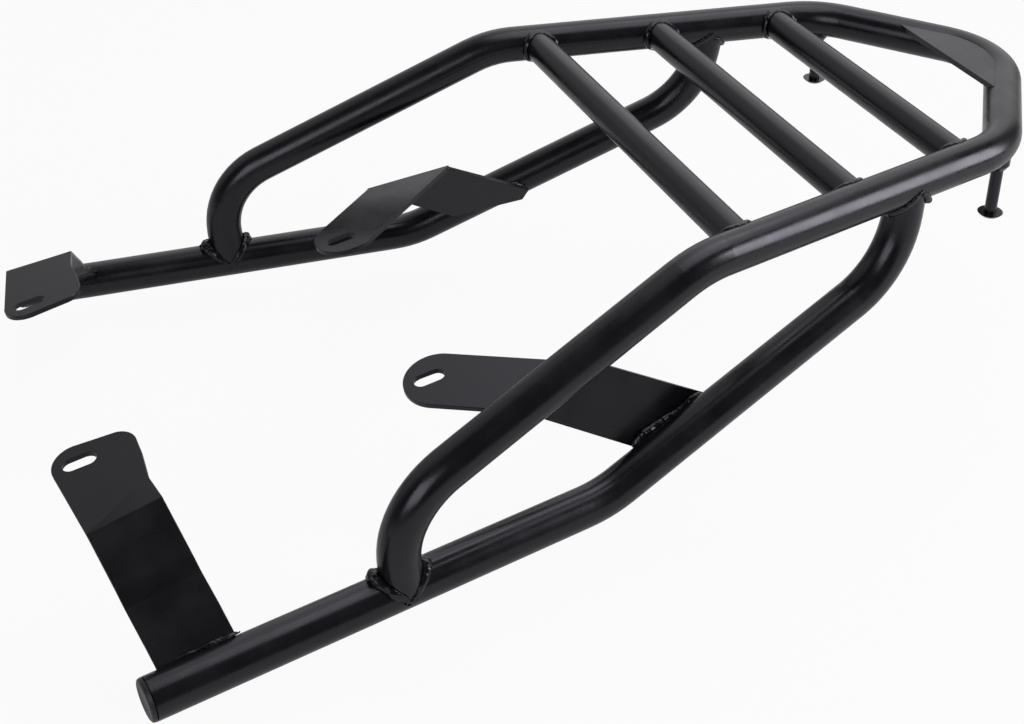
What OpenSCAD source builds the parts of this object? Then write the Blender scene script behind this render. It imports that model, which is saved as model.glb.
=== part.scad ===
// Motorcycle luggage rack, bent and welded from round steel tube.
// Frame: origin in the middle of the four tail slots, +X to the rear, +Y to the right, +Z up.
// One bent loop makes the platform rails, the tail end and both front legs. Two lower tubes
// carry it, three cross tubes bridge it, and four sheet brackets bolt it to the tail.

/* [Tubes] */
// Outside diameter of the loop and of the lower tubes
tube_d = 19; // [18:0.5:20]
// Wall of every tube
tube_wall = 2; // [1.5:0.1:2.5]
// Outside diameter of the three cross tubes
cross_d = 16; // [14:0.5:17]
// Centreline radius of the long bends
bend_r = 57; // [50:1:62]
// Centreline radius of the turns under the rails
turn_r = 47; // [36:1:60]
// Centreline radius of the knees above the feet
knee_r = 40; // [36:1:44]
// Centreline radius of the corners at the tail end of the platform
corner_r = 43; // [36:1:46]

/* [Platform] */
// Height of the platform centre plane above the slot datum
platform_z = 66.6; // [60:0.2:75]
// Where the front bends of the rails lie
rail_front_x = 186; // [180:1:190]
// Half the spacing of the rails at those front bends
rail_front_y = 120.5; // [115:0.5:125]
// Where the rear corners of the platform lie
rail_rear_x = 370; // [366:0.5:376]
// Half the spacing of the rails at the rear corners
rail_rear_y = 85; // [81:0.5:89]
// Where the two tapered stretches would meet behind the platform
tip_x = 434; // [427:0.5:436]
// Where the front cross tube lies
cross_front_x = 210; // [207:0.5:213]
// Distance from one cross tube to the next
cross_pitch = 66.8; // [64:0.2:69]

/* [Legs] */
// Where the knees lie, measured from the slot datum
knee_x = 34; // [30:0.5:38]
// Half the spacing of the legs at the knees
knee_y = 146.5; // [143:0.5:150]
// Drop of the knees below the platform centre plane
knee_drop = 66.8; // [62:0.2:71]

/* [Lower tubes] */
// Front end of the lower tubes
lower_front_x = -78.5; // [-82:1:-72]
// Half the spacing of the lower tubes at their front ends
lower_front_y = 161.4; // [158:0.2:167]
// Height of the lower tubes at their front ends
lower_front_z = -48.8; // [-52:0.2:-44]
// Where the lower tubes start to rise
lower_bend_x = 138.5; // [134:0.5:143]
// Half the spacing of the lower tubes where they start to rise
lower_bend_y = 128.4; // [124:0.2:131]
// Height of the lower tubes where they start to rise
lower_bend_z = -43; // [-48:0.5:-40]
// Where the lower tubes turn up under the rails
lower_top_x = 302.8; // [297:0.2:305]
// Half the spacing of the lower tubes at that turn
lower_top_y = 101; // [97:0.5:104]
// Height of the turn under the rails
lower_top_z = 25; // [20:0.5:28]
// How far the last stretch leans to the rear
lower_top_lean = 6; // [4:1:30]

/* [End caps] */
// Thickness of the cap in front of each lower tube
cap_t = 2.5; // [1.5:0.1:4]
// Depth of the plug inside the tube
cap_plug = 12; // [8:1:20]

/* [Sheet brackets] */
// Thickness of the bracket sheet
sheet_t = 2.5; // [2:0.1:4]
// Width of a slot, for an M6 bolt
slot_w = 7.6; // [6.4:0.1:9]
// Length of a slot from end to end
slot_l = 15; // [12:0.5:18]
// Distance between the front and the middle pair of slots
slot_pitch_x = 158; // [154:1:162]
// Distance between the left and the right slots
slot_pitch_y = 132; // [130:1:136]
// Rise of the slotted pads towards the rear, in degrees
pad_pitch = 10; // [6:1:13]
// Fall of the slotted pads towards the outside, in degrees
pad_roll = 5; // [2:1:7]
// Height of the front pads' top faces at their slots
front_pad_z = 1.8; // [0:0.2:4]
// Height of the middle pads' top faces at their slots
middle_pad_z = 0; // [-3:0.2:1]
// Width of the front straps
front_strap_w = 33.5; // [28:0.5:36]
// Width of the middle straps
middle_strap_w = 33; // [30:1:38]
// How far past the slot the round end of a middle strap has its centre
middle_strap_reach = 5; // [3:0.5:8]
// Front end of the weld of a middle bracket
wing_front_x = 163; // [156:1:164]
// Rear end of the weld of a middle bracket
wing_rear_x = 204; // [200:1:208]

/* [Rear bolts] */
// Thread diameter of the rear bolts
bolt_d = 6; // [5:1:8]
// Diameter of the bolt heads
bolt_head_d = 12.5; // [11:0.5:14]
// Height of the bolt heads
bolt_head_h = 3; // [2:0.1:4]
// Outside diameter of the threaded bosses under the rear corners
boss_d = 11; // [10:0.5:13]
// Taper at the end of the bosses
boss_taper = 1.8; // [0.5:0.1:2]
// Depth of the boss end below the platform centre plane
boss_drop = 13; // [11:0.5:17]
// Length of shank that shows between boss and head
bolt_reach = 24.5; // [20:0.5:30]

/* [Tail plate] */
// Thickness of the plate in the tail end
tail_plate_t = 3; // [2:0.1:4]
// Height of its top face above the platform centre plane
tail_plate_top = 8.2; // [7:0.1:9]
// Where its straight front edge lies
tail_plate_x = 396; // [391:0.5:398]

/* [Welds] */
// Leg length of a weld bead on tube
bead = 3.5; // [2.5:0.1:4.5]
// Gap left between coped tubes and what they meet
weld_gap = 0.1; // [0.08:0.01:0.2]

/* [Hidden] */
tube_r = tube_d / 2;
cross_r = cross_d / 2;
bead_steps = 36;
// Bending draws the tube in by this much, and the straight stretches lap over the bends
draw_in = 0.02;
lap = 0.5;

// Points of the right side; the left side mirrors them
front_bend = [rail_front_x, rail_front_y, platform_z];
rear_corner = [rail_rear_x, rail_rear_y, platform_z];
tip = [tip_x, 0, platform_z];
knee = [knee_x, knee_y, platform_z - knee_drop];
lower_front = [lower_front_x, lower_front_y, lower_front_z];
lower_bend = [lower_bend_x, lower_bend_y, lower_bend_z];

function unit(v) = v / norm(v);
function mix(a, b, t) = a + t * (b - a);
function flip(p) = [p[0], -p[1], p[2]];
function at_x(a, b, x) = mix(a, b, (x - a[0]) / (b[0] - a[0]));
function rail_y(x) = at_x(front_bend, rear_corner, x)[1];

// Foot: from the knee down onto the lower tube
foot = at_x(lower_front, lower_bend, knee_x + 2);
// Turn of the lower tube and the point where its centreline meets the rail's
rail_meet_x = lower_top_x + (platform_z - lower_top_z) * tan(lower_top_lean);
rail_meet = [rail_meet_x, rail_y(rail_meet_x), platform_z];
lower_top = [lower_top_x, lower_top_y, lower_top_z];

module sides(left) {
    if (left) mirror([0, 1, 0]) children();
    else children();
}

// Places children so that their Z runs along dir and their X lies nearest to side
module aim(at, dir, side) {
    z = unit(dir);
    x = unit(side - (side * z) * z);
    y = cross(z, x);
    multmatrix([[x[0], y[0], z[0], at[0]], [x[1], y[1], z[1], at[1]],
                [x[2], y[2], z[2], at[2]], [0, 0, 0, 1]]) children();
}

// A ring, or a full disc when the wall reaches the middle
module ring(r, wall) {
    difference() {
        circle(r = r, $fn = 64);
        if (wall < r) circle(r = r - wall, $fn = 64);
    }
}

module rod(a, b, r) {
    aim(a, b - a, [0.3, 0.2, 1]) cylinder(r = r, h = norm(b - a), $fn = 64);
}

// Straight tube from a to b
module straight(a, b, r, wall) {
    aim(a, b - a, [0.3, 0.2, 1]) linear_extrude(norm(b - a)) ring(r, wall);
}

// Length that a bend of radius r takes from each leg at p
function bend_angle(a, p, b) = acos(max(-1, min(1, unit(p - a) * unit(b - p))));
function setback(a, p, b, r) = r * tan(bend_angle(a, p, b) / 2);

// The bent stretch at p between the legs from a and to b
module elbow(a, p, b, bend, r, wall) {
    turn = bend_angle(a, p, b);
    start = p - setback(a, p, b, bend) * unit(p - a);
    inward = unit(unit(b - p) - unit(p - a));
    normal = unit(cross(unit(p - a), unit(b - p)));
    to_centre = unit(cross(normal, unit(p - a)));
    aim(start + bend * to_centre, normal, -to_centre)
        rotate_extrude(angle = turn, $fn = 96) translate([bend, 0])
            ring(r - draw_in, wall - 2 * draw_in);
}

// A tube through the points, with one bend radius for each inner point
module bent_tube(points, radii, r, wall) {
    last = len(points) - 1;
    for (i = [0:last - 1]) {
        a = points[i];
        b = points[i + 1];
        cut_a = i == 0 ? 0 : setback(points[i - 1], a, b, radii[i - 1]) - lap;
        cut_b = i == last - 1 ? 0 : setback(a, b, points[i + 2], radii[i]) - lap;
        straight(a + cut_a * unit(b - a), b - cut_b * unit(b - a), r, wall);
    }
    for (i = [1:last - 1])
        elbow(points[i - 1], points[i], points[i + 1], radii[i - 1], r, wall);
}

loop_points = [foot, knee, front_bend, rear_corner, tip, flip(rear_corner),
               flip(front_bend), flip(knee), flip(foot)];
loop_radii = [knee_r, bend_r, corner_r, corner_r, corner_r, bend_r, knee_r];
tube_start = lower_front + (cap_t + 0.02) * unit(lower_bend - lower_front);
lower_points = [tube_start, lower_bend, lower_top, rail_meet];
lower_radii = [bend_r, turn_r];

module top_loop_tube() {
    color("#26262a") difference() {
        bent_tube(loop_points, loop_radii, tube_r, tube_wall);
        for (left = [false, true])
            sides(left) rod(lower_front, lower_bend, tube_r + weld_gap);
    }
}

module lower_tube(left) {
    color("#232327") sides(left) difference() {
        bent_tube(lower_points, lower_radii, tube_r, tube_wall);
        rod(front_bend, rear_corner, tube_r + weld_gap);
    }
}

module cross_tube(x) {
    y = rail_y(x);
    color("#2a2a2e") difference() {
        straight([x, -y, platform_z], [x, y, platform_z], cross_r, tube_wall);
        for (left = [false, true])
            sides(left) rod(front_bend, rear_corner, tube_r + weld_gap);
    }
}

// Slot through a pad, cut upright and in line with the bike
module slot(x) {
    run = (slot_l - slot_w) / 2;
    translate([x, slot_pitch_y / 2, -20]) {
        for (dx = [-run, run])
            translate([dx, 0, 0]) cylinder(d = slot_w, h = 40, $fn = 48);
        translate([-run, -slot_w / 2, 0]) cube([2 * run, slot_w, 40]);
    }
}

pad_normal = unit([-tan(pad_pitch), tan(pad_roll), 1]);

// Sheet profile: plates along the points, which lie in the middle of the sheet
function across(p, q) = [-unit(q - p)[1], unit(q - p)[0]];
function mitre(points, i) = let (
    a = across(points[max(i - 1, 0)], points[max(i, 1)]),
    b = across(points[min(i, len(points) - 2)], points[min(i + 1, len(points) - 1)]))
    sheet_t / 2 * (a + b) / (1 + a * b);

module folded(points) {
    last = len(points) - 1;
    polygon(concat([for (i = [0:last]) points[i] + mitre(points, i)],
                   [for (i = [last:-1:0]) points[i] - mitre(points, i)]));
}

// Front strap: across the strap, measured from the slot, and down to the lower tube
front_at = [-slot_pitch_x / 2, slot_pitch_y / 2 + 1.3, front_pad_z];
front_heading = 8;
front_folds = [[-20, 0], [40, 0], [59, -17], [63.7, -24], [79, -32], [93, -46]];
front_edge = -11.5;
front_end_r = 11.5;
front_rear_r = 9;
front_end_angle = 12;

module front_outline() {
    along = [cos(front_end_angle), sin(front_end_angle)];
    away = [along[1], -along[0]];
    c1 = [front_edge + front_end_r - 0.8, -0.5];
    c2 = c1 + (front_end_r - front_rear_r) * away + 17 * along;
    rear = front_edge + front_strap_w;
    in = 0.04;
    translate(c1) circle(r = front_end_r, $fn = 64);
    translate(c2) circle(r = front_rear_r, $fn = 64);
    polygon([c1 - [front_end_r - in, 0], c1 + (front_end_r - in) * away,
             c2 + (front_rear_r - in) * away, c2 + [front_rear_r - in, 0], [rear + 2.4, 10],
             [rear - 0.6, 26], [rear, 40], [rear + 1.5, 110], [front_edge + 1.2, 110],
             [front_edge, 40]]);
}

module front_bracket_sheet() {
    aim(front_at - sheet_t / 2 * pad_normal, pad_normal,
        [cos(front_heading), -sin(front_heading), 0])
        intersection() {
            rotate([90, 0, 90]) translate([0, 0, -30]) linear_extrude(80) folded(front_folds);
            translate([0, 0, -60]) linear_extrude(80) front_outline();
        }
}

module front_bracket(left) {
    color("#2b2b2f") sides(left) difference() {
        front_bracket_sheet();
        slot(-slot_pitch_x / 2);
        rod(lower_front, lower_bend, tube_r + weld_gap);
    }
}

// Middle strap: out and back from the slot, then folded down beside the rising tube.
// Its points lie in the middle of the sheet.
middle_at = [slot_pitch_x / 2 - 0.6, slot_pitch_y / 2 - 0.2, middle_pad_z]
            - sheet_t / 2 * pad_normal;
middle_heading = 35.5;
middle_lean = 20;
middle_turn = 4;
rise = unit(lower_top - lower_bend);
rise_out = unit(cross([0, 0, 1], rise) + tan(middle_turn) * rise);
rise_up = unit(cross(rise, rise_out));
wing_normal = cos(middle_lean) * rise_out + sin(middle_lean) * rise_up;
wing_up = unit(cross(rise, wing_normal));
wing_x = (wing_front_x + wing_rear_x) / 2;

// Point on the wing beside the rising tube at x, by h above the tube's centreline
function wing_point(x, h) = at_x(lower_bend, lower_top, x)
    - (tube_r + weld_gap + sheet_t / 2) * wing_normal + h * wing_up;
pad_x = unit([1, 0, 0] - ([1, 0, 0] * pad_normal) * pad_normal);
pad_y = cross(pad_normal, pad_x);
function to_wing(p, d) =
    p + d * (((wing_point(wing_x, 0) - p) * wing_normal) / (d * wing_normal));
strap_dir = cos(middle_heading) * pad_x + sin(middle_heading) * pad_y;
strap_side = cross(pad_normal, strap_dir);
strap_end = middle_at + middle_strap_reach * strap_dir;
fold_outer = to_wing(strap_end + middle_strap_w / 2 * strap_side, strap_dir);
fold_inner = to_wing(strap_end - middle_strap_w / 2 * strap_side, strap_dir);

// Coordinates of points in the plane at o with normal n and first axis x
function flat(points, o, n, x) = [for (p = points) [(p - o) * x, (p - o) * cross(n, x)]];

module middle_bracket_sheet() {
    r = middle_strap_w / 2;
    fold = unit(fold_inner - fold_outer);
    // Both plates run on to the outside of the fold; small steps keep their faces apart
    reach = sheet_t / 2 * tan(acos(pad_normal * wing_normal) / 2);
    past_pad = (0.05 - reach) * cross(fold, pad_normal);
    past_wing = -reach * cross(wing_normal, fold);
    aim(strap_end - sheet_t / 2 * pad_normal, pad_normal, strap_dir) linear_extrude(sheet_t) {
        circle(r = r, $fn = 96);
        polygon(flat([strap_end - r * strap_side, strap_end + r * strap_side, fold_outer,
                      fold_outer + past_pad, fold_inner + past_pad, fold_inner],
                     strap_end, pad_normal, strap_dir));
    }
    wing_at = wing_point(wing_x, 0);
    along = unit(cross(wing_up, wing_normal));
    step = 0.05 * fold;
    aim(wing_at - sheet_t / 2 * wing_normal, wing_normal, along) linear_extrude(sheet_t)
        polygon(flat([fold_outer + step, fold_outer + step + past_wing,
                      fold_inner - step + past_wing, fold_inner - step,
                      wing_point(wing_rear_x, 2.5), wing_point(wing_rear_x - 5, -3.2),
                      wing_point(wing_front_x, 7)],
                     wing_at, wing_normal, along));
}

module middle_bracket(left) {
    color("#2b2b2f") sides(left) difference() {
        middle_bracket_sheet();
        slot(slot_pitch_x / 2);
        rod(lower_bend, lower_top, tube_r + weld_gap);
    }
}

// Plug caps in the front ends of the lower tubes
module end_cap(left) {
    color("#1c1c1f") sides(left) aim(lower_front, lower_bend - lower_front, [0, 0, 1]) {
        rotate_extrude($fn = 64) difference() {
            square([tube_r, cap_t]);
            translate([tube_r - 0.8, -0.01]) difference() {
                square([0.9, 0.81]);
                translate([0, 0.81]) circle(r = 0.8, $fn = 32);
            }
        }
        translate([0, 0, cap_t])
            cylinder(r = tube_r - tube_wall - weld_gap, h = cap_plug, $fn = 64);
    }
}

// Threaded bosses under the rear corners, with their bolts
bolt_at = [rail_rear_x + 1.5, rail_rear_y - 2.3, 0];
boss_end_z = platform_z - boss_drop;
head_z = boss_end_z - bolt_reach;

module loop_solid() {
    bent_tube([front_bend, rear_corner, tip, flip(rear_corner), flip(front_bend)],
              [corner_r, corner_r, corner_r], tube_r + weld_gap, tube_d);
}

module weld_boss(left) {
    color("#232327") sides(left) difference() {
        translate([bolt_at[0], bolt_at[1], boss_end_z]) rotate_extrude($fn = 48)
            polygon([[0, 0], [boss_d / 2 - boss_taper, 0], [boss_d / 2, 1.5 * boss_taper],
                     [boss_d / 2, boss_drop - 4], [0, boss_drop - 4]]);
        translate([bolt_at[0], bolt_at[1], boss_end_z - 1])
            cylinder(d = bolt_d + 2 * weld_gap, h = boss_drop, $fn = 48);
        loop_solid();
    }
}

module rear_bolt(left) {
    dome_r = (pow(bolt_head_d / 2, 2) + pow(bolt_head_h, 2)) / (2 * bolt_head_h);
    color("#1a1a1c") sides(left) translate([bolt_at[0], bolt_at[1], head_z]) {
        cylinder(d = bolt_d, h = bolt_reach + boss_drop - tube_r - 0.3, $fn = 48);
        difference() {
            rotate_extrude($fn = 64) intersection() {
                translate([0, -bolt_head_h]) square([bolt_head_d / 2, bolt_head_h]);
                translate([0, dome_r - bolt_head_h]) circle(r = dome_r, $fn = 96);
            }
            translate([0, 0, -bolt_head_h - 1])
                cylinder(d = 4.6, h = 2.8, $fn = 6);
        }
    }
}

// Plate let into the tail end
module tail_plate() {
    top = platform_z + tail_plate_top;
    // Half width of the tail at x, between the centrelines of the tapered stretches
    function half(x) = (tip_x - x) * rail_rear_y / (tip_x - rail_rear_x);
    turn = bend_angle(rear_corner, tip, flip(rear_corner));
    end_x = tip_x - corner_r * (1 / cos(turn / 2) - 1);
    color("#2a2a2e") difference() {
        translate([0, 0, top - tail_plate_t]) linear_extrude(tail_plate_t)
            polygon([[tail_plate_x, -half(tail_plate_x)], [end_x, -half(end_x)],
                     [end_x, half(end_x)], [tail_plate_x, half(tail_plate_x)]]);
        loop_solid();
    }
}

// Weld beads. Each is a row of sections of five points: root, toe on the branch, crown, toe
// on the tube that is met, and a point between that toe and the root. Every section stays
// clear of both surfaces by the weld gap.
module bead_row(rows, closed) {
    n = len(rows);
    k = len(rows[0]);
    function at(i, j) = (i % n) * k + (j % k);
    polyhedron([for (row = rows) each row],
        concat([for (i = [0:closed ? n - 1 : n - 2]) for (j = [0:k - 1])
                    each [[at(i, j), at(i + 1, j), at(i + 1, j + 1)],
                          [at(i, j), at(i + 1, j + 1), at(i, j + 1)]]],
               closed ? [] : [for (j = [0:k - 3]) [at(0, k - 1), at(0, j), at(0, j + 1)]],
               closed ? [] : [for (j = [0:k - 3])
                    [at(n - 1, k - 1), at(n - 1, j + 1), at(n - 1, j)]]));
}

// Size of the bead at t degrees along its run: the ripple of a hand weld
function ripple(t, seed) = 1 + 0.08 * sin(4 * t + seed) + 0.06 * sin(11 * t + 2 * seed);

// Part of v across the unit vector e
function off(v, e) = v - (v * e) * e;

// Point p brought to radius r round the line through m along e
function onto(p, m, e, r) = m + ((p - m) * e) * e + r * unit(off(p - m, e));

// Section at p. nb and nm are the outward normals there of the branch, which runs along d,
// and of the tube of radius r round the line through m along e. The toe lies towards away.
function section(p, nb, nm, d, m, e, r, size, away) = let (
    out = unit(nb + nm + 0.02 * d),
    to_toe = unit(off(away + 0.02 * d, nm)),
    toe = onto(p + size * to_toe, m, e, r),
    high = p + size * d)
    [p + 0.25 * out, high, (toe + high) / 2 + 0.3 * size * out, toe,
     onto(p + 0.5 * size * to_toe, m, e, r + 0.2)];

// Round bead where a branch of radius rb along d from o meets the tube of radius rm at m
// along e. The bead is thinner by slim on the side that lies towards e
module ring_bead(o, d, rb, m, e, rm, size, seed, slim = 0) {
    u = unit(off(e, d));
    v = cross(d, u);
    g = weld_gap + 0.03;
    rows = [for (i = [0:bead_steps - 1]) let (
        t = 360 * i / bead_steps,
        nb = cos(t) * u + sin(t) * v,
        w = off(o + (rb + g) * nb - m, e),
        b = off(d, e),
        h = w * b,
        s = (-h + sqrt(max(0, h * h - (b * b) * (w * w - pow(rm + g, 2))))) / (b * b),
        p = o + (rb + g) * nb + s * d,
        here = size * ripple(t, seed) * (1 - slim * (1 + cos(t)) / 2))
        section(p, nb, unit(off(p - m, e)), d, m, e, rm + g, here, nb - d)];
    bead_row(rows, true);
}

// Straight bead between the face of a plate through f with normal n, which leaves along d,
// and the tube of radius tube_r at m along e, from a to b along e
module line_bead(f, n, d, m, e, a, b, size, seed) {
    g = weld_gap + 0.03;
    u = unit(off(n, e));
    v = unit(off(d, e) - (off(d, e) * u) * u);
    steps = 14;
    rows = [for (i = [0:steps]) let (
        t = i / steps,
        c = m + mix(b, a, t) * e,
        k = max(-0.98, min(1, (f * n + g - c * n) / ((tube_r + g) * (u * n)))),
        p = c + (tube_r + g) * (k * u + sqrt(1 - k * k) * v),
        fade = 1 - 0.6 * pow(abs(2 * t - 1), 6))
        section(p, n, unit(p - c), d, m, e, tube_r + g, size * fade * ripple(90 * t, seed), n)];
    bead_row(rows, false);
}

rail_dir = unit(rear_corner - front_bend);
lower_dir = unit(lower_bend - lower_front);

module foot_bead(left) {
    color("#202024") sides(left)
        ring_bead(foot, unit(knee - foot), tube_r, lower_front, lower_dir, tube_r, bead, 20);
}

module lower_top_bead(left) {
    color("#202024") sides(left)
        ring_bead(rail_meet, unit(lower_top - rail_meet), tube_r, front_bend, rail_dir,
                  tube_r, bead, 75, 0.45);
}

module cross_bead(x, left) {
    color("#202024") sides(left)
        ring_bead([x, rail_y(x), platform_z], [0, -1, 0], cross_r, front_bend, rail_dir,
                  tube_r, bead * 0.75, 3 * x);
}

// The front strap's last panel in the frame of the part
function from_front(x, y, z) = front_at - sheet_t / 2 * pad_normal + x * front_x
    + y * cross(pad_normal, front_x) + z * pad_normal;
front_side = [cos(front_heading), -sin(front_heading), 0];
front_x = unit(off(front_side, pad_normal));
panel_a = front_folds[len(front_folds) - 2];
panel_b = front_folds[len(front_folds) - 1];
panel_dir = unit(from_front(0, panel_b[0], panel_b[1]) - from_front(0, panel_a[0], panel_a[1]));
panel_normal = cross(front_x, panel_dir);

front_bead_from = 16;
front_bead_to = 46;

module front_bracket_bead(left) {
    face = from_front(0, panel_a[0], panel_a[1]) + sheet_t / 2 * panel_normal;
    color("#202024") sides(left)
        line_bead(face, panel_normal, -panel_dir, lower_front, lower_dir,
                  front_bead_from, front_bead_to, bead * 0.7, 10);
}

module middle_bracket_bead(left) {
    face = wing_point(wing_x, 0) + sheet_t / 2 * wing_normal;
    length = norm(lower_top - lower_bend) / (lower_top_x - lower_bend_x);
    color("#202024") sides(left)
        line_bead(face, wing_normal, wing_up, lower_bend, rise,
                  (wing_front_x - lower_bend_x) * length,
                  (wing_rear_x - 3 - lower_bend_x) * length,
                  bead * 1.5, 140);
}

top_loop_tube();
lower_tube(true);  // lower_tube_left
lower_tube(false);  // lower_tube_right
cross_tube(cross_front_x);  // cross_tube_front
cross_tube(cross_front_x + cross_pitch);  // cross_tube_middle
cross_tube(cross_front_x + 2 * cross_pitch);  // cross_tube_rear
front_bracket(true);  // front_bracket_left
front_bracket(false);  // front_bracket_right
middle_bracket(true);  // middle_bracket_left
middle_bracket(false);  // middle_bracket_right
end_cap(true);  // end_cap_left
end_cap(false);  // end_cap_right
weld_boss(true);  // weld_boss_left
weld_boss(false);  // weld_boss_right
rear_bolt(true);  // rear_bolt_left
rear_bolt(false);  // rear_bolt_right
tail_plate();
foot_bead(true);  // foot_bead_left
foot_bead(false);  // foot_bead_right
lower_top_bead(true);  // lower_top_bead_left
lower_top_bead(false);  // lower_top_bead_right
cross_bead(cross_front_x, true);  // cross_bead_front_left
cross_bead(cross_front_x, false);  // cross_bead_front_right
cross_bead(cross_front_x + cross_pitch, true);  // cross_bead_middle_left
cross_bead(cross_front_x + cross_pitch, false);  // cross_bead_middle_right
cross_bead(cross_front_x + 2 * cross_pitch, true);  // cross_bead_rear_left
cross_bead(cross_front_x + 2 * cross_pitch, false);  // cross_bead_rear_right
front_bracket_bead(true);  // front_bracket_bead_left
front_bracket_bead(false);  // front_bracket_bead_right
middle_bracket_bead(true);  // middle_bracket_bead_left
middle_bracket_bead(false);  // middle_bracket_bead_right
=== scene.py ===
import math

import bmesh
import bpy
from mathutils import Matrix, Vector
from mathutils.noise import noise as field


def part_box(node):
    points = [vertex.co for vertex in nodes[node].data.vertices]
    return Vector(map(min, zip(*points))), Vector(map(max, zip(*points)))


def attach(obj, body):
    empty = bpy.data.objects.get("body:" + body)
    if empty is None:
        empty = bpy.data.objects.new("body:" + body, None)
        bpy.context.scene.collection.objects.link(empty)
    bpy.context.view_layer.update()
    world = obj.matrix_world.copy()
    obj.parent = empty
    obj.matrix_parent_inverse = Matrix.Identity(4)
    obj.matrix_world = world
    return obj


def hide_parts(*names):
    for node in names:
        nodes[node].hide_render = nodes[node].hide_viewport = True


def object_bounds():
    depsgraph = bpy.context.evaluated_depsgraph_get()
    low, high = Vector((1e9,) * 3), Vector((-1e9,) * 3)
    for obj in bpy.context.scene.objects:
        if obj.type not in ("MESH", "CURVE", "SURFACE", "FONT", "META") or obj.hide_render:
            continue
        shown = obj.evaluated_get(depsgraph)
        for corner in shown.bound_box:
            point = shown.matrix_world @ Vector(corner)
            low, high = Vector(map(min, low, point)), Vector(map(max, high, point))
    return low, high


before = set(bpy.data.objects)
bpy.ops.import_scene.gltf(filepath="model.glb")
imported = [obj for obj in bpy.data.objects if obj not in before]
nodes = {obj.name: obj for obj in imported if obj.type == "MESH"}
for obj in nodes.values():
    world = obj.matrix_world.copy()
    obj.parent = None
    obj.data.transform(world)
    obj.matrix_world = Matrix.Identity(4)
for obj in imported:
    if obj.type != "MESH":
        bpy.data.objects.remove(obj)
scene = bpy.context.scene


def world_bounds():
    return [[float(v) for v in corner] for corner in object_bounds()]


bounds_loaded = world_bounds()
MM = 0.001

# The photograph's camera, solved from the object's edges: lens in mm, shift in widths of
# the picture, place in metres and turns about X, Y and Z in degrees
CAM_LENS = 57.7892
CAM_SHIFT = (-0.01399, -0.08482)
CAM_AT = (-0.11923, -0.64088, 0.44427)
CAM_TURN = (57.344, 0.0381, -23.236)


# ---------------------------------------------------------------- materials

def new_material(name):
    mat = bpy.data.materials.new(name)
    mat.use_nodes = True
    tree = mat.node_tree
    tree.nodes.clear()
    out = tree.nodes.new("ShaderNodeOutputMaterial")
    bsdf = tree.nodes.new("ShaderNodeBsdfPrincipled")
    tree.links.new(bsdf.outputs["BSDF"], out.inputs["Surface"])
    return mat, tree, bsdf


def link(tree, a, b):
    tree.links.new(a, b)


def noise(tree, coords, scale, detail):
    n = tree.nodes.new("ShaderNodeTexNoise")
    n.inputs["Scale"].default_value = scale
    n.inputs["Detail"].default_value = detail
    link(tree, coords, n.inputs["Vector"])
    return n.outputs["Fac"]


def ramp(tree, value, low, high, a=0.0, b=1.0):
    r = tree.nodes.new("ShaderNodeMapRange")
    r.inputs["From Min"].default_value = low
    r.inputs["From Max"].default_value = high
    r.inputs["To Min"].default_value = a
    r.inputs["To Max"].default_value = b
    link(tree, value, r.inputs["Value"])
    return r.outputs["Result"]


def mix_color(tree, fac, a, b):
    m = tree.nodes.new("ShaderNodeMix")
    m.data_type = "RGBA"
    m.inputs["A"].default_value = a
    m.inputs["B"].default_value = b
    link(tree, fac, m.inputs["Factor"])
    return m.outputs["Result"]


# The coat: scales of its noises, height of the peel, tint of its reflections and how far
# the roughness strays to each side
TONE_SCALE = 22.0
GLOSS_SCALE = 60.0
PEEL_SCALE = 1400.0
PEEL_HEIGHT = 0.2 * MM
COAT_TINT = (0.87, 0.86, 1.0, 1)
GLOSS_SPREAD = 0.05


def coat_material(name, dark, light, rough, bump):
    """Satin powder coat: fine orange peel, slight change of tone and of gloss."""
    mat, tree, bsdf = new_material(name)
    coords = tree.nodes.new("ShaderNodeTexCoord").outputs["Object"]
    tone = ramp(tree, noise(tree, coords, TONE_SCALE, 3.0), 0.35, 0.68)
    link(tree, mix_color(tree, tone, dark, light), bsdf.inputs["Base Color"])
    gloss = noise(tree, coords, GLOSS_SCALE, 4.0)
    link(tree, ramp(tree, gloss, 0.35, 0.65, rough - GLOSS_SPREAD, rough + GLOSS_SPREAD),
         bsdf.inputs["Roughness"])
    bsdf.inputs["Specular IOR Level"].default_value = 0.5
    bsdf.inputs["Specular Tint"].default_value = COAT_TINT
    peel = noise(tree, coords, PEEL_SCALE, 2.0)
    b = tree.nodes.new("ShaderNodeBump")
    b.inputs["Strength"].default_value = bump
    b.inputs["Distance"].default_value = PEEL_HEIGHT
    link(tree, peel, b.inputs["Height"])
    link(tree, b.outputs["Normal"], bsdf.inputs["Normal"])
    return mat


# Dark and light tone of the powder coat and of the caps' plastic
BLACK = ((0.0028, 0.0028, 0.0031, 1), (0.0042, 0.0042, 0.0046, 1))
PLASTIC_BLACK = ((0.009, 0.009, 0.0095, 1), (0.014, 0.014, 0.015, 1))

# Each finish: roughness and strength of its orange peel
coat = coat_material("coat", *BLACK, 0.27, 0.12)
plate = coat_material("plate", *BLACK, 0.30, 0.12)
weld = coat_material("weld", *BLACK, 0.2, 0.25)
plastic = coat_material("plastic", *PLASTIC_BLACK, 0.42, 0.05)
bolt = coat_material("bolt", *BLACK, 0.24, 0.05)


def material_for(name):
    if name.startswith("end_cap"):
        return plastic
    if name.startswith("rear_bolt"):
        return bolt
    if "weld" in name or "bead" in name:
        return weld
    if "bracket" in name or name == "tail_plate":
        return plate
    return coat


for name, obj in nodes.items():
    obj.data.materials.clear()
    obj.data.materials.append(material_for(name))


# ---------------------------------------------------------------- new pieces

# Points closer than this are one point
MERGE = 0.001 * MM


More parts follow.
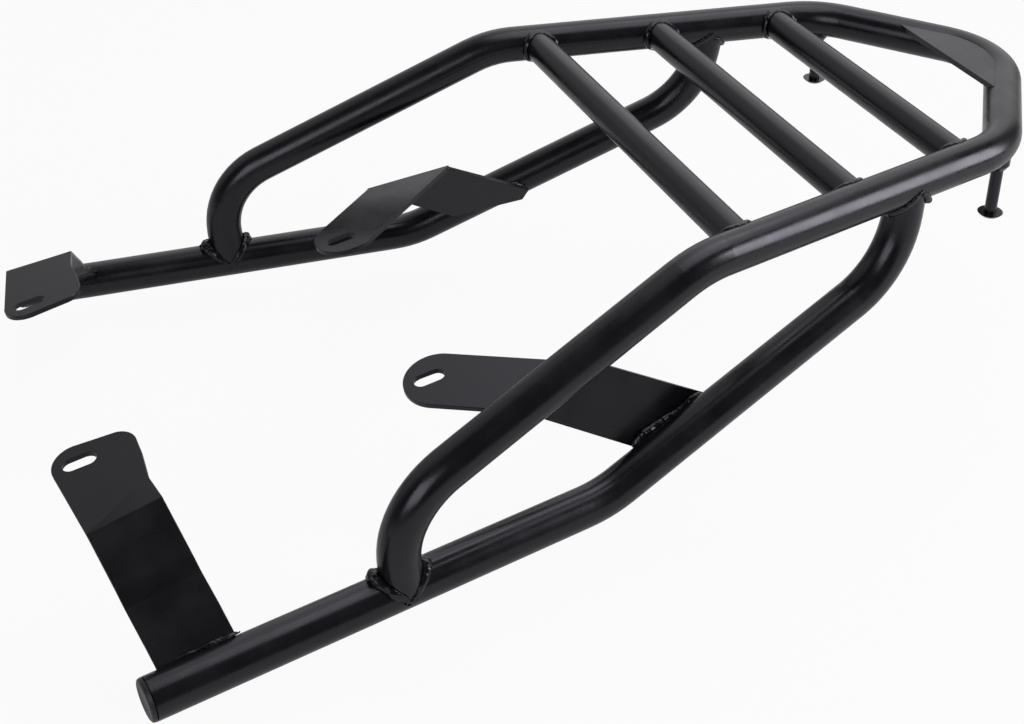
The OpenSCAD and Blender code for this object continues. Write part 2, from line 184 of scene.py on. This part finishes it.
def add_piece(name, mesh, material, node):
    """A new piece of the rack, riding on it, in place of the node that it stands for."""
    obj = bpy.data.objects.new(name, mesh)
    scene.collection.objects.link(obj)
    mesh.materials.clear()
    mesh.materials.append(material)
    for face in mesh.polygons:
        face.use_smooth = True
    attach(obj, "root")
    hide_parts(node)


def with_modifier(mesh, kind, **settings):
    """The mesh that one modifier makes of this one."""
    obj = bpy.data.objects.new("working", mesh)
    scene.collection.objects.link(obj)
    modifier = obj.modifiers.new("step", kind)
    for setting, value in settings.items():
        setattr(modifier, setting, value)
    view = bpy.context.evaluated_depsgraph_get()
    result = bpy.data.meshes.new_from_object(obj.evaluated_get(view))
    bpy.data.objects.remove(obj)
    return result


# ---------------------------------------------------------------- welds

# Size of the faces of a weld, and of its lumps and ripples
WELD_VOXEL = 0.42 * MM
COARSE_CELL = 3.6 * MM
FINE_CELL = 1.3 * MM
FINE_SHIFT = Vector((7, 3, 5))


def soften(bm, rounds):
    """Evens out a mesh by moving every point towards its neighbours."""
    for _ in range(rounds):
        bmesh.ops.smooth_vert(bm, verts=bm.verts, factor=0.5,
                              use_axis_x=True, use_axis_y=True, use_axis_z=True)


def lumpy_weld(node, swell, lump, ripple, gobs=()):
    """Weld bead as it cooled: swollen or shrunk, with lumps, ripples and gobs (in mm).

    A gob is a place in the node's box from 0 to 1, its radius and its height."""
    mesh = with_modifier(nodes[node].data.copy(), "REMESH", mode="VOXEL",
                         voxel_size=WELD_VOXEL)
    low_at, high_at = (Vector(v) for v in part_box(node))
    size = high_at - low_at
    places = [(low_at + size * Vector(at), radius * MM, height * MM)
              for at, radius, height in gobs]
    bm = bmesh.new()
    bm.from_mesh(mesh)
    soften(bm, 5)
    bm.normal_update()
    moves = []
    for v in bm.verts:
        coarse = field(v.co / COARSE_CELL)
        fine = abs(field(v.co / FINE_CELL + FINE_SHIFT))
        rise = (swell + lump * coarse + ripple * fine) * MM
        for at, radius, height in places:
            near = max(0.0, 1.0 - (v.co - at).length / radius)
            rise += height * near * near * (3 - 2 * near) * (0.75 + 0.9 * fine)
        moves.append(v.normal * rise)
    for v, move in zip(bm.verts, moves):
        v.co += move
    soften(bm, 1)
    bm.to_mesh(mesh)
    bm.free()
    add_piece(node + "_cast", mesh, weld, node)


# outer is where the outer face of the rack lies in the box of the bead, along Y
for side, outer in (("left", 0.0), ("right", 1.0)):
    lumpy_weld("foot_bead_" + side, -0.1, 0.15, 0.1,
               (((0.0, 0.5, 0.8), 8, 2.6), ((1.0, 0.4 + 0.2 * outer, 0.9), 6, 1.6),
                ((0.5, 0.0, 0.1), 13, -0.5), ((0.5, 1.0, 0.1), 13, -0.5)))
    lumpy_weld("lower_top_bead_" + side, 0.1, 0.2, 0.2,
               (((1.0, outer, 0.35), 9, 3.0), ((0.75, outer, 0.2), 6, 1.4)))
    lumpy_weld("front_bracket_bead_" + side, -0.4, 0.15, 0.1,
               (((1.0, 0.5, 0.5), 7, -0.6),))
    lumpy_weld("middle_bracket_bead_" + side, 0.9, 0.5, 0.5)
    for cross in ("front", "middle", "rear"):
        lumpy_weld("cross_bead_" + cross + "_" + side, -0.25, 0.12, 0.1)


# ---------------------------------------------------------------- plates

def fold_edges(bm, lowest, highest, shortest):
    """Edges that turn between two angles, in degrees, and are at least so long."""
    return [e for e in bm.edges if len(e.link_faces) == 2 and e.calc_length() > shortest
            and math.radians(lowest) < e.calc_face_angle(0.0) < math.radians(highest)]


# Folds that are rounded, by their angle: lowest and highest (degrees) and run of the
# rounding to each side (mm). The slant fold of the middle straps is steeper and stays sharp
FOLDS = ((10, 25, 1.5), (25, 35, 0.8), (35, 60, 2.2))
FOLD_LENGTH = 30 * MM
PANEL_AREA = (12 * MM) ** 2
LIFT = 0.06 * MM

# Borders of a plate: angles in degrees, shortest edge that is eased, and run of the easing
BORDER = (80, 100)
BORDER_LENGTH = 0.6 * MM
BORDER_RUN = 0.25 * MM

# Degrees under which faces count as one flat face, and over which an edge shades sharp
FLAT_ANGLE = 0.4
SHARP_ANGLE = 25


def lift_loose_points(bm, rounding):
    """Lifts the points of a rounded fold that touch no panel: three on each front strap."""
    folds = set(rounding["faces"])
    moves = []
    for v in rounding["verts"]:
        panels = [f for f in v.link_faces if f not in folds and f.calc_area() > PANEL_AREA]
        bend = [f for f in v.link_faces if f in folds]
        if bend and not panels:
            moves.append((v, sum((f.normal for f in bend), Vector()).normalized()))
    for v, out in moves:
        v.co += out * LIFT


def eased_plate(node):
    """A strap with its borders eased and its folds of up to 60 degrees rounded."""
    bm = bmesh.new()
    bm.from_mesh(nodes[node].data)
    bmesh.ops.remove_doubles(bm, verts=bm.verts, dist=MERGE)
    bmesh.ops.dissolve_limit(bm, angle_limit=math.radians(FLAT_ANGLE), verts=bm.verts,
                             edges=bm.edges)
    edges = [fold_edges(bm, lowest, highest, FOLD_LENGTH) for lowest, highest, _ in FOLDS]
    for picked, (_, _, run) in zip(edges, FOLDS):
        rounding = bmesh.ops.bevel(bm, geom=picked, offset=run * MM, segments=4,
                                   affect="EDGES", profile=0.5, clamp_overlap=False)
        bm.normal_update()
    lift_loose_points(bm, rounding)
    bmesh.ops.bevel(bm, geom=fold_edges(bm, *BORDER, BORDER_LENGTH), offset=BORDER_RUN,
                    segments=2, affect="EDGES", profile=0.5, clamp_overlap=False)
    mesh = bpy.data.meshes.new(node + "_eased")
    bm.to_mesh(mesh)
    bm.free()
    for face in mesh.polygons:
        face.use_smooth = True
    mesh.set_sharp_from_angle(angle=math.radians(SHARP_ANGLE))
    mesh = with_modifier(mesh, "WEIGHTED_NORMAL", mode="FACE_AREA", keep_sharp=True)
    add_piece(node + "_eased", mesh, plate, node)


for side in ("left", "right"):
    eased_plate("front_bracket_" + side)
    eased_plate("middle_bracket_" + side)


# ---------------------------------------------------------------- end caps

# Front end and first bend of the right lower tube, as part.scad has them
TUBE_FRONT = Vector((-78.5, 161.4, -48.8)) * MM
TUBE_BEND = Vector((138.5, 128.4, -43.0)) * MM

# Half section of a cap: distance out from its face and radius, in mm
CAP_PROFILE = ((-0.3, 0.0), (-0.25, 6.6), (0.0, 7.4), (-0.1, 8.3), (-0.45, 9.0), (-1.0, 9.3),
               (-1.7, 9.35), (-1.95, 9.5), (-2.1, 9.25), (-2.2, 8.8), (-2.5, 8.7), (-2.5, 7.35))
PLUG_R = 7.3 * MM


def turned_cap(node, mirror):
    """Push-in plastic cap with a rounded rim, a shallow dish and a seam by the tube's end."""
    flip = Vector((1, mirror, 1))
    start, bend = TUBE_FRONT * flip, TUBE_BEND * flip
    out = (start - bend).normalized()
    along = [(v.co - start).dot(out) for v in nodes[node].data.vertices]
    across = out.orthogonal().normalized()
    bm = bmesh.new()
    points = [(max(along) + u * MM, r * MM) for u, r in CAP_PROFILE]
    points += [(min(along), PLUG_R), (min(along), 0.0)]
    verts = [bm.verts.new(start + out * u + across * r) for u, r in points]
    edges = [bm.edges.new(pair) for pair in zip(verts, verts[1:])]
    bmesh.ops.spin(bm, geom=verts + edges, cent=start, axis=out, dvec=(0, 0, 0),
                   angle=math.tau, steps=72, use_merge=True)
    bmesh.ops.remove_doubles(bm, verts=bm.verts, dist=MERGE)
    bmesh.ops.recalc_face_normals(bm, faces=bm.faces)
    mesh = bpy.data.meshes.new(node + "_turned")
    bm.to_mesh(mesh)
    bm.free()
    add_piece(node + "_turned", mesh, plastic, node)


turned_cap("end_cap_left", -1)
turned_cap("end_cap_right", 1)


# ---------------------------------------------------------------- stage

scene.view_settings.view_transform = "Standard"

low = Vector(bounds_loaded[0])
high = Vector(bounds_loaded[1])
middle = (low + high) / 2


def math_node(tree, operation, a, b=None):
    m = tree.nodes.new("ShaderNodeMath")
    m.operation = operation
    for socket, value in zip(m.inputs, (a, b)):
        if value is None:
            continue
        if isinstance(value, (int, float)):
            socket.default_value = value
        else:
            link(tree, value, socket)
    return m.outputs["Value"]


# Share of plain white in the floor to the camera and in gloss, its drop under the rack and
# half its side in metres
FLOOR_WHITE = 0.93
FLOOR_GLOSS = 0.2
FLOOR_DROP = 0.012
FLOOR_HALF = 8.0


def floor_material():
    """White paper: mostly plain white to the camera, dim in gloss, with a faint shadow."""
    mat, tree, bsdf = new_material("floor")
    bsdf.inputs["Base Color"].default_value = (0.6, 0.6, 0.6, 1)
    bsdf.inputs["Roughness"].default_value = 0.9
    bsdf.inputs["Specular IOR Level"].default_value = 0.1
    white = tree.nodes.new("ShaderNodeEmission")
    white.inputs["Strength"].default_value = 1.0
    path = tree.nodes.new("ShaderNodeLightPath")
    seen = math_node(tree, "MAXIMUM", path.outputs["Is Camera Ray"],
                     path.outputs["Is Transmission Ray"])
    gloss = math_node(tree, "MULTIPLY", path.outputs["Is Glossy Ray"], FLOOR_GLOSS)
    mix = tree.nodes.new("ShaderNodeMixShader")
    seen = math_node(tree, "MULTIPLY", seen, FLOOR_WHITE)
    link(tree, math_node(tree, "MAXIMUM", seen, gloss), mix.inputs["Fac"])
    link(tree, bsdf.outputs["BSDF"], mix.inputs[1])
    link(tree, white.outputs["Emission"], mix.inputs[2])
    out = [n for n in tree.nodes if n.type == "OUTPUT_MATERIAL"][0]
    link(tree, mix.outputs["Shader"], out.inputs["Surface"])
    return mat


floor_z = low.z - FLOOR_DROP
mesh = bpy.data.meshes.new("floor")
mesh.from_pydata([(x * FLOOR_HALF, y * FLOOR_HALF, floor_z)
                  for x, y in ((-1, -1), (1, -1), (1, 1), (-1, 1))], [], [(0, 1, 2, 3)])
floor = bpy.data.objects.new("floor", mesh)
scene.collection.objects.link(floor)
floor.data.materials.append(floor_material())


# Each pale wall of the room: its azimuth, the half widths where it ends and where it is
# full, all in degrees, and its level. Then the level of the rest of the room
WALL = (57, 38, 24, 0.78)
SIDE_WALL = (92, 78, 55, 0.58)
ROOM_LEVEL = 0.09


def studio_world():
    """Dim room with a tall pale wall behind the object and a weaker one beside it."""
    world = bpy.data.worlds.new("studio")
    scene.world = world
    world.use_nodes = True
    tree = world.node_tree
    tree.nodes.clear()
    out = tree.nodes.new("ShaderNodeOutputWorld")
    bg = tree.nodes.new("ShaderNodeBackground")
    coords = tree.nodes.new("ShaderNodeTexCoord").outputs["Generated"]
    parts = tree.nodes.new("ShaderNodeSeparateXYZ")
    link(tree, coords, parts.inputs["Vector"])
    z = parts.outputs["Z"]
    flat = math_node(tree, "SQRT", math_node(tree, "MAXIMUM", math_node(
        tree, "SUBTRACT", 1.0, math_node(tree, "MULTIPLY", z, z)), 0.0001))

    def facing(azimuth, start, full, level):
        """Level over the directions within full degrees of azimuth, gone by start degrees."""
        dot = tree.nodes.new("ShaderNodeVectorMath")
        dot.operation = "DOT_PRODUCT"
        a = math.radians(azimuth)
        dot.inputs[1].default_value = (math.cos(a), math.sin(a), 0)
        link(tree, coords, dot.inputs[0])
        turn = math_node(tree, "DIVIDE", dot.outputs["Value"], flat)
        return ramp(tree, turn, math.cos(math.radians(start)), math.cos(math.radians(full)),
                    0.0, level)

    wall = facing(*WALL)
    side = math_node(tree, "MULTIPLY", facing(*SIDE_WALL), ramp(tree, z, 0.0, 0.5, 0.4, 1.0))
    level = math_node(tree, "MULTIPLY", math_node(tree, "ADD", wall, side),
                      ramp(tree, z, 0.98, 0.85))
    level = math_node(tree, "ADD", level, ROOM_LEVEL)
    link(tree, level, bg.inputs["Strength"])
    link(tree, bg.outputs["Background"], out.inputs["Surface"])


studio_world()


def softbox(name, azimuth, elevation, distance, width, height, radiance):
    """Area light seen from the object's middle at these angles; width and height in degrees."""
    a, e = math.radians(azimuth), math.radians(elevation)
    away = Vector((math.cos(a) * math.cos(e), math.sin(a) * math.cos(e), math.sin(e)))
    light = bpy.data.lights.new(name, "AREA")
    light.shape = "RECTANGLE"
    light.size = 2 * distance * math.tan(math.radians(width / 2))
    light.size_y = 2 * distance * math.tan(math.radians(height / 2))
    # An area lamp gives a quarter of its watts per square metre as radiance
    light.energy = radiance * 4 * light.size * light.size_y
    obj = bpy.data.objects.new(name, light)
    obj.location = middle + distance * away
    obj.rotation_euler = (-away).to_track_quat("-Z", "Y").to_euler()
    scene.collection.objects.link(obj)


# Azimuth, elevation, distance in metres, width, height and radiance of each lamp
softbox("key", -33, 23, 1.5, 27, 32, 5.8)
softbox("top", 10, 73, 1.4, 42, 42, 1.5)
softbox("front", -138, 27, 1.5, 36, 28, 2.0)


# ---------------------------------------------------------------- camera

def photo_camera():
    cam = bpy.data.cameras.new("photo")
    cam.sensor_width = 36.0
    cam.lens = CAM_LENS
    cam.shift_x = CAM_SHIFT[0]
    cam.shift_y = CAM_SHIFT[1]
    cam.clip_start = 0.05
    cam.clip_end = 30.0
    cam.dof.use_dof = False
    obj = bpy.data.objects.new("photo", cam)
    scene.collection.objects.link(obj)
    obj.location = CAM_AT
    obj.rotation_euler = [math.radians(turn) for turn in CAM_TURN]
    scene.camera = obj


photo_camera()
